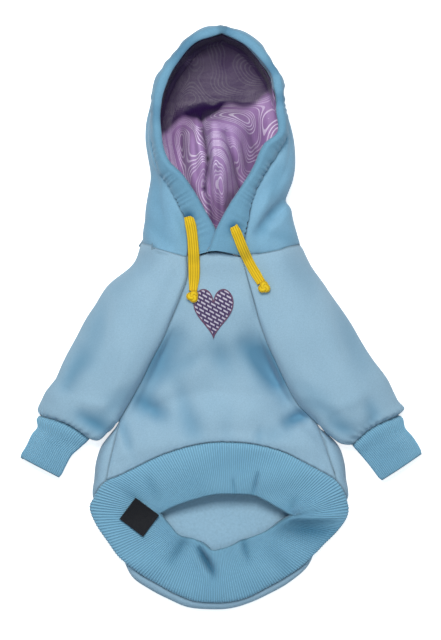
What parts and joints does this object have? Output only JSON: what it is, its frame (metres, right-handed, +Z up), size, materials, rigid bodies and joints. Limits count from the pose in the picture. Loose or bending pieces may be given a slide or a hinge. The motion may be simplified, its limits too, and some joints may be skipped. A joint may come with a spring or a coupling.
{
  "type": "dog sweatshirt",
  "caption": "Small hooded dog sweatshirt in pale blue fleece, lying on its back with the lined hood open, short sleeves with ribbed cuffs and a ribbed hem band.",
  "frame": {"origin": "middle of the garment's box, on the floor that it lies on", "axes": "+Y from the hem to the top of the hood, +Z up through the belly side, +X towards the side on the picture's right"},
  "size_m": [0.3434, 0.4942, 0.072],
  "materials": {
    "fleece": "brushed sweatshirt knit",
    "rib": "ribbed knit",
    "satin": "printed satin",
    "cord": "flat knitted cord",
    "label": "woven tape",
    "print": "flocked print"
  },
  "bodies": {
    "root": {"belly_panel": "fleece", "back_panel": "fleece", "sleeve_left": "fleece", "sleeve_right": "fleece", "cuff_left": "rib", "cuff_right": "rib", "hem_band": "rib", "hood": "fleece", "hood_lining": "satin", "hood_casing": "fleece", "drawstring_left": "cord", "drawstring_right": "cord", "knot_left": "cord", "knot_right": "cord", "hem_label": "label", "chest_motif": "print"}
  },
  "joints": []
}
